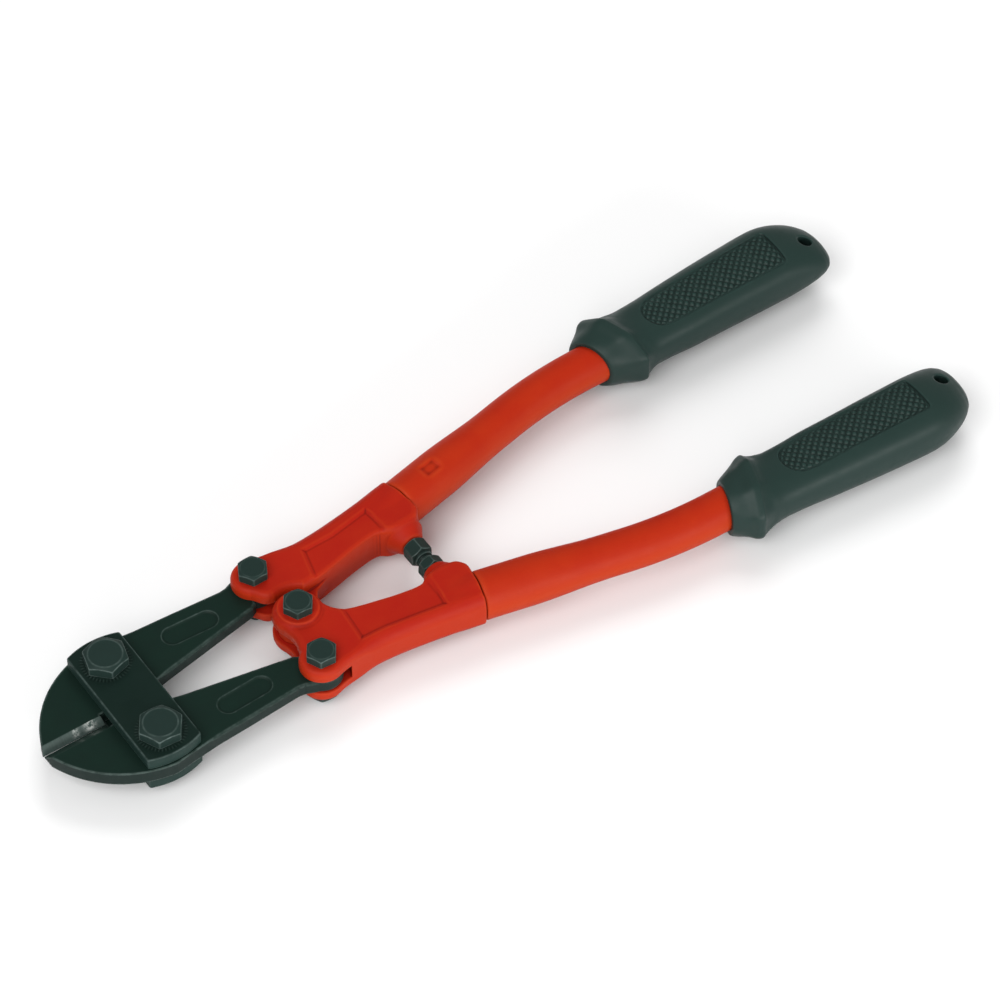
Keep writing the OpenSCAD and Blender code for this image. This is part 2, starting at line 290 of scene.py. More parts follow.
def marks(points, quads):
    """Per point: how far it stands out of its neighbours, and how upright the surface is."""
    ends = np.concatenate([quads[:, [i, (i + 1) % 4]] for i in range(4)])
    ends = np.concatenate([ends, ends[:, ::-1]])
    n = len(points)
    degree = np.maximum(np.bincount(ends[:, 0], minlength=n), 1)

    def around(values):
        return np.bincount(ends[:, 0], weights=values[ends[:, 1]], minlength=n) / degree

    mean = np.stack([around(points[:, i]) for i in range(3)], 1)
    side = np.cross(points[quads[:, 2]] - points[quads[:, 0]],
                    points[quads[:, 3]] - points[quads[:, 1]])
    normal = np.zeros((n, 3))
    for i in range(4):
        for k in range(3):
            normal[:, k] += np.bincount(quads[:, i], weights=side[:, k], minlength=n)
    normal /= np.linalg.norm(normal, axis=1)[:, None] + 1e-12
    size = math.sqrt(np.abs(side).sum(1).mean())
    share = ((points - mean) * normal).sum(1) / size
    for _ in range(2):
        share = 0.5 * share + 0.5 * around(share)
    # the materials paint light and shade from these marks: painted light on upright faces, painted shade
    # in hollows and painted highlights on raised edges; steel edges also take rubbed wear
    return {"edge": share * 10, "flank_lighting": 1 - np.abs(normal[:, 2])}


# ---------- materials ----------
def material(name):
    m = bpy.data.materials.new(name)
    m.use_nodes = True
    nodes, links = m.node_tree.nodes, m.node_tree.links
    return m, nodes, links, nodes["Principled BSDF"]


def noise(nodes, links, scale, detail=4.0, rough=0.6, stretch=None):
    """Noise fixed to the object, in cycles per millimetre."""
    place = nodes.new("ShaderNodeTexCoord")
    tex = nodes.new("ShaderNodeTexNoise")
    tex.inputs["Scale"].default_value = scale / MM
    tex.inputs["Detail"].default_value = detail
    tex.inputs["Roughness"].default_value = rough
    if stretch is None:
        links.new(place.outputs["Object"], tex.inputs["Vector"])
    else:
        turn = nodes.new("ShaderNodeMapping")
        turn.inputs["Scale"].default_value = stretch
        links.new(place.outputs["Object"], turn.inputs["Vector"])
        links.new(turn.outputs["Vector"], tex.inputs["Vector"])
    return tex.outputs["Fac"]


def fit(nodes, links, value, low, high, to_low=0.0, to_high=1.0):
    node = nodes.new("ShaderNodeMapRange")
    node.inputs["From Min"].default_value = low
    node.inputs["From Max"].default_value = high
    node.inputs["To Min"].default_value = to_low
    node.inputs["To Max"].default_value = to_high
    links.new(value, node.inputs["Value"])
    return node.outputs["Result"]


def blend(nodes, links, share, a, b):
    """Colour that goes from a to b; each is a colour or an output."""
    node = nodes.new("ShaderNodeMix")
    node.data_type = "RGBA"
    links.new(share, node.inputs["Factor"])
    for socket, v in ((node.inputs["A"], a), (node.inputs["B"], b)):
        if isinstance(v, tuple):
            socket.default_value = (*v, 1)
        else:
            links.new(v, socket)
    return node.outputs["Result"]


def math_node(nodes, links, operation, *values):
    node = nodes.new("ShaderNodeMath")
    node.operation = operation
    for socket, v in zip(node.inputs, values):
        if isinstance(v, (int, float)):
            socket.default_value = v
        else:
            links.new(v, socket)
    return node.outputs["Value"]


def mark_of(nodes, name):
    node = nodes.new("ShaderNodeAttribute")
    node.attribute_name = name
    return node.outputs["Fac"]


def bump(nodes, links, shader, height, distance, strength=1.0, after=None):
    node = nodes.new("ShaderNodeBump")
    node.inputs["Distance"].default_value = distance * MM
    node.inputs["Strength"].default_value = strength
    links.new(height, node.inputs["Height"])
    if after is not None:
        links.new(after, node.inputs["Normal"])
    links.new(node.outputs["Normal"], shader.inputs["Normal"])
    return node.outputs["Normal"]


def darker(color, share):
    return tuple(c * share for c in color)


def steel(name, top, side, worn, rough, ground=None):
    """Blackened steel: faintly mottled, with painted light that makes its flanks paler than its tops,
    painted shade in its hollows, and rubbed on its edges.
    """
    m, nodes, links, shader = material(name)
    mottle = noise(nodes, links, 0.14, 5)
    # painted light: upright faces take the paler side colour, faces that look up the darker top colour
    flank_lighting = fit(nodes, links, mark_of(nodes, "flank_lighting"), 0.35, 0.9)
    base = blend(nodes, links, flank_lighting, top, side)
    cloud = fit(nodes, links, mottle, 0.35, 0.7, 0, 0.3)
    base = blend(nodes, links, cloud, base, darker(side, 0.6))
    edge = mark_of(nodes, "edge")
    rub = math_node(nodes, links, "MULTIPLY", fit(nodes, links, edge, 0.08, 0.6, 0, 0.9),
                    fit(nodes, links, noise(nodes, links, 0.35, 5), 0.25, 0.6))
    # painted shade: hollows and creases darkened towards a dark copy of the top colour
    base = blend(nodes, links, fit(nodes, links, edge, -0.7, -0.1, 0.7, 0), base, darker(top, 0.3))
    base = blend(nodes, links, rub, base, worn)
    shine = fit(nodes, links, noise(nodes, links, 0.3, 4), 0.3, 0.7, rough - 0.05, rough + 0.08)
    if ground:
        streak = fit(nodes, links, noise(nodes, links, 1.2, 3, 0.6, (1, 0.12, 0.12)), 0.3, 0.7)
        bare = blend(nodes, links, streak, darker(ground, 0.75), ground)
        base = blend(nodes, links, mark_of(nodes, "ground"), base, bare)
        chips = math_node(nodes, links, "MULTIPLY", mark_of(nodes, "bright"),
                          fit(nodes, links, noise(nodes, links, 0.9, 4), 0.4, 0.56))
        base = blend(nodes, links, chips, base, (0.5, 0.53, 0.5))
    links.new(base, shader.inputs["Base Color"])
    links.new(shine, shader.inputs["Roughness"])
    shader.inputs["Specular IOR Level"].default_value = 0.16
    first = bump(nodes, links, shader, noise(nodes, links, 1.6, 3), 0.035, 0.5)
    bump(nodes, links, shader, noise(nodes, links, 0.22, 3), 0.1, 0.4, first)
    return m


def red_paint(name, face, side, edge):
    """Powder coat: a slight orange peel, with painted highlights that make the edges paler, painted shade
    in the hollows, and painted light and reflection that make the flanks paler and more orange than the
    tops.
    """
    m, nodes, links, shader = material(name)
    # painted light and painted reflection: upright faces take the paler, more orange side colour
    flank_lighting = fit(nodes, links, mark_of(nodes, "flank_lighting"), 0.25, 0.95)
    base = blend(nodes, links, flank_lighting, face, side)
    cloud = fit(nodes, links, noise(nodes, links, 0.08, 5), 0.3, 0.7, 0, 0.35)
    base = blend(nodes, links, cloud, base, side)
    mark = mark_of(nodes, "edge")
    # painted highlight: raised edges lightened towards the edge colour
    base = blend(nodes, links, fit(nodes, links, mark, 0.05, 0.45, 0, 0.6), base, edge)
    # painted shade: hollows darkened
    base = blend(nodes, links, fit(nodes, links, mark, -0.4, -0.04, 0.75, 0), base, darker(face, 0.45))
    links.new(base, shader.inputs["Base Color"])
    shine = fit(nodes, links, noise(nodes, links, 0.2, 4), 0.3, 0.7, 0.46, 0.58)
    links.new(shine, shader.inputs["Roughness"])
    shader.inputs["Specular IOR Level"].default_value = 0.12
    first = bump(nodes, links, shader, noise(nodes, links, 1.1, 2), 0.06, 0.5)
    bump(nodes, links, shader, noise(nodes, links, 0.14, 3), 0.3, 0.4, first)
    return m


def rubber(name, top, side):
    """Moulded grip: matt and slightly mottled, with a painted highlight on the high spots, painted shade
    in the hollows and painted light on its flanks.
    """
    m, nodes, links, shader = material(name)
    # painted light: upright faces take the side colour, faces that look up the top colour
    base = blend(nodes, links, fit(nodes, links, mark_of(nodes, "flank_lighting"), 0.3, 0.9), top, side)
    cloud = fit(nodes, links, noise(nodes, links, 0.06, 4), 0.3, 0.7, 0, 0.5)
    base = blend(nodes, links, cloud, base, side)
    mark = mark_of(nodes, "edge")
    # painted shade: hollows darkened
    base = blend(nodes, links, fit(nodes, links, mark, -0.7, -0.1, 0.7, 0), base, darker(top, 0.4))
    # painted highlight: high spots lightened
    base = blend(nodes, links, fit(nodes, links, mark, 0.12, 1.0, 0, 0.5), base, darker(side, 1.6))
    links.new(base, shader.inputs["Base Color"])
    shine = fit(nodes, links, noise(nodes, links, 0.3, 4), 0.3, 0.7, 0.38, 0.5)
    links.new(shine, shader.inputs["Roughness"])
    shader.inputs["Specular IOR Level"].default_value = 0.2
    first = bump(nodes, links, shader, noise(nodes, links, 2.6, 2), 0.03, 0.5)
    bump(nodes, links, shader, noise(nodes, links, 0.12, 3), 0.2, 0.35, first)
    return m


# colours, in order: faces that look up, flanks (these two are lit and shaded copies of one finish: painted
# light), then the edge colour (rubbed wear on steel, a painted highlight on the red paint), then bare
# ground steel
JAW_STEEL = steel(
    "jaw_steel", (0.0042, 0.0163, 0.0113), (0.0076, 0.0175, 0.0146), (0.055, 0.08, 0.072), 0.52,
    (0.054, 0.079, 0.071))
PLATE_STEEL = steel(
    "plate_steel", (0.0038, 0.0133, 0.0098), (0.0125, 0.031, 0.026), (0.05, 0.075, 0.068), 0.52)
BOLT_STEEL = steel(
    "bolt_steel", (0.0118, 0.026, 0.022), (0.0155, 0.032, 0.0275), (0.09, 0.125, 0.115), 0.46)
RED_HEAD = red_paint("red_forging", (0.34, 0.0098, 0.0038), (0.4, 0.024, 0.0046), (0.44, 0.034, 0.007))
RED_TUBE = red_paint("red_tube", (0.365, 0.016, 0.0035), (0.43, 0.034, 0.0052), (0.44, 0.04, 0.008))
GRIP_RUBBER = rubber("grip_rubber", (0.0145, 0.0315, 0.027), (0.0128, 0.0295, 0.0255))


# ---------- making pieces ----------
def piece(name, points, faces, body, node, slot, finish, left=False, extra=None):
    """One visible piece, from points in mm about the centre bolt."""
    points = np.array(points, float)
    faces = np.array(faces)
    values = marks(points, faces)
    if extra:
        values.update(extra(points, values["edge"]))
    if left:
        points = points * [1, -1, 1]
        faces = faces[:, ::-1]
    places = (points + list(CENTER)) * MM
    mesh = bpy.data.meshes.new(name)
    mesh.from_pydata(places.tolist(), [], faces.tolist())
    for key, value in values.items():
        mesh.attributes.new(key, "FLOAT", "POINT").data.foreach_set("value", value.astype(np.float32))
    mesh.shade_smooth()
    mesh.materials.append(finish)
    made = bpy.data.objects.new(name, mesh)
    bpy.context.scene.collection.objects.link(made)
    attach(made, body)
    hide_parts(node)
    return made


def both_sides(name, mesh, body, slot, finish):
    """The same shape on the right and, turned over, on the left."""
    for side in ("right", "left"):
        node = f"{name}_{side}"
        piece(node + "_piece", *mesh, body.format(side), node, slot, finish, side == "left")


# ---------- link plates ----------
PLATE_END_R = 27.9
TEETH, TOOTH_DEPTH = 44, 0.14


def plate_field(x, y, z):
    """Plate with rounded ends, serrated around the jaw bolts."""
    rise = np.abs(z - (PLATE_Z0 + PLATE_Z1) / 2) - (PLATE_Z1 - PLATE_Z0) / 2
    mid = (PLATE_X0 + PLATE_X1) / 2
    flat = common(np.abs(x - mid) - (PLATE_X1 - PLATE_X0) / 2, np.hypot(x - mid, y) - PLATE_END_R, 0.6)
    f = slab(flat, rise, 0.35)
    for side in (-1, 1):
        r = np.hypot(x - AX, y - side * AY)
        angle = np.arctan2(y - side * AY, x - AX)
        ring = ramp(7.2, 7.8, r) * ramp(9.4, 8.6, r)
        teeth = TOOTH_DEPTH * ramp(-0.6, 0.8, np.cos(TEETH * angle)) * ring
        f = common(f, z - PLATE_Z1 + teeth, 0.1)
        f = cut(f, r - JAW_BOLT_R - PLAY)
    return f


def make_plates():
    low, high = (PLATE_X0, -28, PLATE_Z0), (PLATE_X1, 28, PLATE_Z1)
    points, faces = net(plate_field, low, high, 0.24)
    piece("link_plate_top_piece", points, faces, "link_frame", "link_plate_top", "link_plate", PLATE_STEEL)
    piece("link_plate_bottom_piece", points * [1, 1, -1], faces[:, ::-1],
          "link_frame", "link_plate_bottom", "link_plate", PLATE_STEEL)


# ---------- bolts and nuts ----------
CHAMFER = math.radians(27)
HALF_ROOT = 0.7071


def thread(r, angle, z, radius, pitch):
    """Round shank with a thread cut into it."""
    wave = np.abs((z / pitch + angle / (2 * math.pi)) % 1 - 0.5) * 2
    return r - radius + 0.32 * pitch * wave


def bolt_field(across, z0, z1, shank, tip, turn, round_r, thread_top):
    """Hexagon bolt about the z axis: head from z0 up to z1, shank down to tip."""

    def field(x, y, z):
        r = np.hypot(x, y)
        head = hexagon(x, y, across, turn, 0.35)
        cone = (r - round_r) * math.sin(CHAMFER) + (z - z1) * math.cos(CHAMFER)
        head = common(head, cone, 0.15)
        head = common(head, z - z1 + 0.12 * ramp(round_r, round_r - 1.4, r), 0.15)
        head = common(head, z0 - z)
        bar = np.where(z < thread_top, thread(r, np.arctan2(y, x), z, shank, 1.1), r - shank)
        bar = common(bar, z - z0 - 0.5)
        bar = common(bar, tip - z, 0.2)
        bar = common(bar, (r - shank + 0.8 + tip - z) * HALF_ROOT, 0.2)
        return join(head, bar, 0.1)

    return field


def nut_field(across, z_top, height, bore, turn):
    """Hexagon nut about the z axis, chamfered on both faces."""
    round_r = across * 0.46

    def field(x, y, z):
        r = np.hypot(x, y)
        f = hexagon(x, y, across, turn, 0.35)
        away = np.abs(z - z_top + height / 2) - height / 2
        f = common(f, (r - round_r) * math.sin(CHAMFER) + away * math.cos(CHAMFER), 0.15)
        f = common(f, away, 0.1)
        return cut(f, join(r - bore, (r - bore - 0.7 - away * 0.9) * 0.7), 0.05)

    return field


def at(mesh, x, y):
    """The mesh, moved to x and y."""
    return mesh[0] + [x, y, 0], mesh[1]


def make_bolts():
    big, small = 8.4, 6.0  # half widths of the boxes searched for surface
    low, high = span("jaw_bolt_right", 2)
    nut_low, nut_high = span("jaw_nut_right", 2)
    for side, turn in (("right", 15.7), ("left", 4.3)):
        field = bolt_field(JAW_BOLT_AF, PLATE_Z1, high, JAW_BOLT_R, low, turn, 5.95, nut_high)
        mesh = net(field, (-big, -big, low), (big, big, high), 0.2)
        piece(f"jaw_bolt_{side}_piece", *at(mesh, AX, AY), "link_frame",
              f"jaw_bolt_{side}", "bolt_steel", BOLT_STEEL, side == "left")
    field = nut_field(JAW_BOLT_AF, nut_high, nut_high - nut_low, JAW_BOLT_R + PLAY, 10)
    mesh = net(field, (-big, -big, nut_low), (big, big, nut_high), 0.22)
    both_sides("jaw_nut", at(mesh, AX, AY), "link_frame", "bolt_steel", BOLT_STEEL)
    for node, body, x, y, turn, left in (
        ("tail_bolt_right", "arm_right", CX, CY, 2, False),
        ("tail_bolt_left", "arm_left", CX, CY, 4.3, True),
        ("center_bolt", "arm_left", 0, 0, 4.3, True),
    ):
        low, high = span(node, 2)
        nut = node.replace("bolt", "nut")
        nut_low, nut_high = span(nut, 2)
        field = bolt_field(ARM_BOLT_AF, high - HEAD_HEIGHT, high, ARM_BOLT_R, low, turn, 4.35, nut_high)
        mesh = net(field, (-small, -small, low), (small, small, high), 0.16)
        piece(node + "_piece", *at(mesh, x, y), body, node, "bolt_steel", BOLT_STEEL, left)
        field = nut_field(ARM_BOLT_AF, nut_high, nut_high - nut_low, ARM_BOLT_R + PLAY, 4.3)
        mesh = net(field, (-small, -small, nut_low), (small, small, nut_high), 0.16)
        piece(nut + "_piece", *at(mesh, x, y), body, nut, "bolt_steel", BOLT_STEEL, left)


# ---------- stop screw ----------
def make_stop():
    low, high = span("stop_screw", 1)
    nut_low, nut_high = span("stop_lock_nut", 1)
    head_low = high - 6

    def screw(x, y, z):
        u = x - STOP_X
        r = np.hypot(u, z)
        head = hexagon(u, z, STOP_AF, 30, 0.3)
        away = np.abs(y - (high + head_low) / 2) - (high - head_low) / 2
        head = common(head, (r - 3.7) * 0.5 + away * 0.866, 0.15)
        head = common(head, away, 0.3)
        collar = common(r - 3.3, head_low - 1.1 - y, 0.2)
        collar = common(collar, y - head_low - 0.5)
        bar = common(thread(r, np.arctan2(z, u), y, STOP_R, 0.9), low - y)
        bar = common(bar, y - head_low - 0.5)
        return join(join(head, collar, 0.15), bar, 0.1)

    def nut(x, y, z):
        u = x - STOP_X
        r = np.hypot(u, z)
        f = hexagon(u, z, STOP_AF, 24, 0.3)
        away = np.abs(y - (nut_low + nut_high) / 2) - (nut_high - nut_low) / 2
        f = common(f, (r - 3.7) * 0.5 + away * 0.866, 0.15)
        f = common(f, away, 0.1)
        return cut(f, r - STOP_R - PLAY)

    reach = 4.7
    mesh = net(screw, (STOP_X - reach, low, -reach), (STOP_X + reach, high, reach), 0.15)
    piece("stop_screw_piece", *mesh, "arm_left", "stop_screw", "bolt_steel", BOLT_STEEL)
    mesh = net(nut, (STOP_X - reach, nut_low, -reach), (STOP_X + reach, nut_high, reach), 0.15)
    piece("stop_lock_nut_piece", *mesh, "arm_left", "stop_lock_nut", "bolt_steel", BOLT_STEEL)


# ---------- jaws ----------
JAW_GAP = 0.03
CUT_X = TIP_X + 24
RECESS_X, RECESS_Y, RECESS_TURN = -32.5, 17.3, 0.05
RECESS_HALF, RECESS_R = 6.6, 4.1
JAW_PLAN = outline(
    [(TIP_X, JAW_GAP)]
    + arc(-61.8, -11, 40.2, 161, 96, 40)
    + [(-60, 28.1), (-54, 27.4), (-35, 26.35), (-16, 25.1), (-13.6, 25.4), (-11.4, 26.3)]
    + arc(CX, CY, 7.2, 126, -118, 48)
    + [(-8.5, 13.6), (-10.5, 12.4), (-54.7, 4.3), (-60, 3.3), (-72, 3), (CUT_X - 0.6, 3), (CUT_X, JAW_GAP)]
)


def jaw_field(bevel):
    """One jaw; its cutting edge falls away by bevel from the middle plane to the face."""
    lean = (bevel - JAW_GAP) / JAW_Z

    def field(x, y, z):
        r = 0.3 + 0.75 * ramp(-56, -48, x)
        f = slab(JAW_PLAN(x, y), np.abs(z) - JAW_Z, r)
        edge = (y - JAW_GAP - lean * np.abs(z)) / math.hypot(1, lean)
        f = cut(f, common(edge, x - CUT_X), 0.12)
        f = cut(f, np.hypot(x - AX, y - AY) - JAW_BOLT_R - PLAY_JAW)
        f = cut(f, np.hypot(x - CX, y - CY) - ARM_BOLT_R - PLAY_JAW)
        u, v = x - RECESS_X, y - RECESS_Y
        c, d = math.cos(RECESS_TURN), math.sin(RECESS_TURN)
        u, v = u * c - v * d, u * d + v * c
        lozenge = np.hypot(np.maximum(np.abs(u) - RECESS_HALF, 0), v) - RECESS_R
        rim = 0.3 * np.exp(-((lozenge - 0.5) / 0.55) ** 2)
        depth = 0.6 * ramp(0.1, -1.1, lozenge) - rim
        return common(f, z - JAW_Z + depth, 0.1)

    return field


def blade_marks(bevel, share):
    """Where a jaw is ground to its edge, and where that edge has been in use."""

    def extra(p, edge):
        x, y, z = p.T
        plane = JAW_GAP + (bevel - JAW_GAP) / JAW_Z * np.abs(z)
        near = ramp(0.35, 0.15, np.abs(y - plane)) * ramp(0.2, -0.2, x - CUT_X)
        used = sum(size * np.exp(-((x - at) / long) ** 2)
                   for at, long, size in ((-81.6, 1.7, 1.0), (-87.2, 1.0, 0.6)))
        used = np.clip(used * ramp(0.2, 1.2, z) * ramp(5.2, 2.6, z), 0, 1)
        return {"ground": share * near, "bright": share * near * used, "edge": edge * (1 - near)}

    return extra


def make_jaws():
    low, high = (TIP_X, -1, -JAW_Z), (CX + 7.5, 30, JAW_Z)
    for side, bevel, share in (("right", 2.1, 1.0), ("left", 3.4, 0.1)):
        mesh = net(jaw_field(bevel), low, high, 0.28)
        piece(f"jaw_{side}_piece", *mesh, f"jaw_{side}", f"jaw_{side}", "jaw_steel", JAW_STEEL,
              side == "left", blade_marks(bevel, share))


# ---------- arm heads ----------
EAR_SIDE = arc(CX, CY, 7.8, -125, -285, 28) + [
    (1, 27.9), (6, 27.3), (14, 27.0), (22, 27.4), (30, 28.4), (38, 29.6), (46, 31.0), (52.2, 32.2),
    (58, 33.3)]
INNER_SIDE = [
    (59, 16.2), (57.4, 13.2), (55.2, 11.2), (46.2, 10.9), (43.2, 12.1), (40.6, 13.9), (31, 12.4),
    (25.5, 11.1), (19.5, 9.7)]
RELIEF_R = 10.5
LAP_R = 9.0
BOSS_R = 7.1
FORK_R = 10.0
WEB_R = 7.2
POCKET_DEPTH = 0.9
SEAM_GAP = 0.42
SPIGOT_LENGTH = 14
STOP_BOSS_R = 4.3
RIGHT_PLAN = outline(soften(
    EAR_SIDE + INNER_SIDE + [(14.5, 8.6), (11.2, 8.3)]
    + arc(0, 0, RELIEF_R, 46, 109, 14) + [(-6.4, 10.8)]))
LEFT_PLAN = outline(soften(
    EAR_SIDE + INNER_SIDE + [(15, 8.4), (12.6, 7.2), (10.8, 5.2), (9.6, 3.2)]
    + arc(0, 0, LAP_R, 8, -206, 40) + [(-7.2, 9), (-8.2, 13)]))
RIGHT_POCKET = outline([(8, -4), (14.6, 21.8), (27, 22), (43.6, 25), (45, 15), (45, -4)])
LEFT_POCKET = outline([(12.6, -4), (10, 23.2), (20, 23.6), (30, 25), (43.5, 27), (46.5, 13), (46.5, -4)])
TONGUE = outline([(-4, 6), (7.2, -0.8), (12, 6.6), (20, 10.5), (18, 18), (9.2, 16)])


def tube_axis(x, y):
    """Distance along the tube's first straight and sideways from it."""
    u, v = x - SEAM_X, y - SEAM_Y
    return u * math.cos(TILT) + v * math.sin(TILT), v * math.cos(TILT) - u * math.sin(TILT)


def arm_shell(plan, pocket):
    """The forged outside of an arm head, without slots and bores."""

    def field(x, y, z):
        away = np.abs(z)
        flat = plan(x, y)
        top = ARM_Z + 0.3 * ramp(42, 50, x)
        depth = POCKET_DEPTH * ramp(0.1, -1.9, pocket(x, y)) * ramp(45.5, 42.5, x)
        r = 2.6 + (2.8 * ramp(-4, 6, y - 16 - 0.13 * x) - 0.4) * ramp(4, 16, x)
        f = slab(flat, away - top, r)
        f = common(f, away - top + depth, 0.8)
        along, across = tube_axis(x, y)
        collar = common(np.hypot(across, z) - 7.3 - 1.15 * ramp(-13, -1, along), -along - 13)
        return join(f, collar, 0.8)

    return field


def finish_arm(f, x, y, z):
    """Stop boss, square end at the seam, and the spigot inside the tube."""
    along, across = tube_axis(x, y)
    rise = y - STOP_FACE
    boss = (np.hypot(x - STOP_X, z) - STOP_BOSS_R - 0.62 * np.clip(rise, 0, 4.4)) * 0.85
    boss = common(common(boss, -rise, 0.8), rise - 6)
    f = join(f, boss, 1.2)
    f = common(f, along + SEAM_GAP, 0.5)
    spigot = common(np.hypot(across, z) - TUBE_R + TUBE_WALL + 0.05, along - SPIGOT_LENGTH)
    return join(f, common(spigot, -along - 2))


def fork_slot(x, y, z):
    """Room for the jaw's tail between the arm's two ears."""
    round_part = np.hypot(x - CX, y - CY) - FORK_R
    open_part = common(x - CX - 2, 8.2 - y)
    return common(join(round_part, open_part, 1.0), np.abs(z) - SLOT_Z)


RIGHT_SHELL = arm_shell(RIGHT_PLAN, RIGHT_POCKET)
LEFT_SHELL = arm_shell(LEFT_PLAN, LEFT_POCKET)


def right_arm_field(x, y, z):
    """Arm head with a tongue that reaches between the left arm's knuckle walls."""
    f = finish_arm(RIGHT_SHELL(x, y, z), x, y, z)
    f = cut(f, fork_slot(x, y, z), 0.35)
    web = join(np.hypot(x, y) - WEB_R, TONGUE(x, y), 1.5)
    f = join(f, slab(web, np.abs(z) - JAW_Z, 0.3), 0.4)
    f = cut(f, np.hypot(x - CX, y - CY) - ARM_BOLT_R - PLAY)
    return cut(f, np.hypot(x, y) - TONGUE_BORE_R, 0.2)


def left_arm_field(x, y, z):
    """Arm head with a boss on each face and room for the right arm's tongue."""
    r = np.hypot(x, y)
    boss = common(r - BOSS_R, np.abs(z) - BOSS_Z, 0.5)
    f = join(LEFT_SHELL(x, y, z), boss, 2.0)
    f = finish_arm(f, x, y, z)
    room = join(r - 9.1, y - 3)
    room = join(room, common(x - 2, y - 11))
    slots = join(fork_slot(x, y, z), common(room, np.abs(z) - SLOT_Z))
    f = cut(f, slots, 0.35)
    f = cut(f, np.hypot(x - CX, y - CY) - ARM_BOLT_R - PLAY)
    f = cut(f, r - ARM_BOLT_R - PLAY)
    return cut(f, common(np.hypot(x - STOP_X, z) - STOP_R - PLAY, y - 21.5))


def make_arm_heads():
    low, high = (-13, -9.5, -9.6), (72, 35, 9.6)
    mesh = net(right_arm_field, low, high, 0.34)
    piece("arm_head_right_piece", *mesh, "arm_right", "arm_head_right", "red_forging", RED_HEAD)
    mesh = net(left_arm_field, low, high, 0.34)
    piece("arm_head_left_piece", *mesh, "arm_left", "arm_head_left", "red_forging", RED_HEAD, True)


# ---------- handle tubes ----------
DIMPLE_S, DIMPLE_DEPTH = 14.5, 0.8


def tube_path(s):
    """Place and direction of the tube's axis at a distance s from the seam."""
    straight = (BEND_X0 - SEAM_X) / math.cos(TILT)
    turn = BEND_R * TILT
    if s < straight:
        return SEAM_X + s * math.cos(TILT), SEAM_Y + s * math.sin(TILT), TILT
    if s < straight + turn:
        a = TILT - (s - straight) / BEND_R
        return BEND_X1 - BEND_R * math.sin(a), GRIP_Y - BEND_R * (1 - math.cos(a)), a
    return BEND_X1 + s - straight - turn, GRIP_Y, 0.0


def make_tubes():
    length = (BEND_X0 - SEAM_X) / math.cos(TILT) + BEND_R * TILT + TUBE_X1 - BEND_X1
    swell = curve([(0, TUBE_R - 0.45), (0.5, TUBE_R - 0.05), (1, TUBE_R), (18, TUBE_R), (46, TUBE_R_END),
                   (length, TUBE_R_END)])
    around = 96
    s_values = [0, 0.25, 0.5, 1, *np.arange(2, 60, 0.6), *np.arange(60, length, 1.5), length]
    angles = np.arange(around) * 2 * math.pi / around

    def ring(s, inner):
        x, y, a = tube_path(s)
        r = np.full(around, float(swell(s)))
        if inner:
            r -= TUBE_WALL - (0.35 if s < 0.3 else 0)
        else:
            # plain square dimple pressed into the top, past the seam
            side = r * np.cos(angles) + 1
            dimple = np.exp(-(((s - DIMPLE_S) / 3.2) ** 6) - ((side / 2.4) ** 6))
            r -= DIMPLE_DEPTH * dimple * (np.sin(angles) > 0)
        across = r * np.cos(angles)
        return np.stack([x - across * math.sin(a), y + across * math.cos(a), r * np.sin(angles)], 1)

    rings = [ring(s, False) for s in s_values] + [ring(s, True) for s in s_values[::-1]]
    points = np.concatenate(rings)
    n = len(rings)
    i, k = np.meshgrid(np.arange(n), np.arange(around), indexing="ij")
    j, m = (i + 1) % n, (k + 1) % around
    faces = np.stack([i * around + k, i * around + m, j * around + m, j * around + k], -1).reshape(-1, 4)
    piece("handle_tube_right_piece", points, faces, "arm_right", "handle_tube_right", "red_tube", RED_TUBE)
    points = points * [1, 1, -1]
    piece("handle_tube_left_piece", points, faces[:, ::-1], "arm_left", "handle_tube_left", "red_tube",
          RED_TUBE, True)


# ---------- grips ----------
# place along the tool, middle, half width, half thickness, and how square the section is
GRIP_ROWS = [
    (148.8, 40.2, 9.4, 9.4, 2), (150.2, 40.3, 10.2, 10.1, 2), (155, 40.7, 12.6, 11.6, 2.1),
    (158, 41, 14.4, 12.9, 2.3), (159.6, 41.1, 14.8, 13, 2.4), (161, 41.2, 14, 12.4, 2.3),
    (163.5, 41.2, 13.2, 11.0, 2.2), (166.5, 41.3, 12.6, 10.0, 2.2), (170, 41.4, 12.2, 9.5, 2.3),
    (176, 41.6, 12.3, 9.4, 2.4), (188, 42.1, 13, 9.9, 2.5), (200, 42.7, 13.4, 10.4, 2.5),
    (214, 43.2, 13.9, 10.8, 2.5), (228, 43.6, 14.2, 11, 2.5), (234, 43.3, 14, 10.5, 2.4),
    (239, 42.6, 13.4, 9.2, 2.3), (243, 41.8, 12.4, 7.6, 2.2), (246, 41.1, 10.9, 5.9, 2.1),
    (248.2, 40.6, 8.6, 4.2, 2), (249.2, 40.3, 6, 2.7, 2), (END_X, 40.2, 3, 1.2, 2)]
GRIP_MID, GRIP_A, GRIP_B, GRIP_N = (
    curve([(row[0], row[i]) for row in GRIP_ROWS]) for i in (1, 2, 3, 4))
PANEL_Z = curve([(170, 8.6), (176, 8.6), (200, 9.1), (230, 9.7)])
PANEL_W = curve([(172, 6.4), (180, 7.2), (200, 7.7), (230, 8.2)])
PANEL_MID = curve([(172, 41.1), (200, 41.7), (230, 42.2)])
PANEL_X0, PANEL_X1 = 172.3, 230.5
PANEL_TILT = 0.05
PANEL_SINK, PANEL_SHALLOW, PANEL_DEEP = 0.35, 0.45, 1.1
STUD_X, STUD_Y, STUD_R, STUD_HEIGHT = 3.0, 1.4, 0.95, 0.75
HANG_X, HANG_Y = 242.5, GRIP_Y
COLLAR_LEAN = math.tan(math.radians(18))


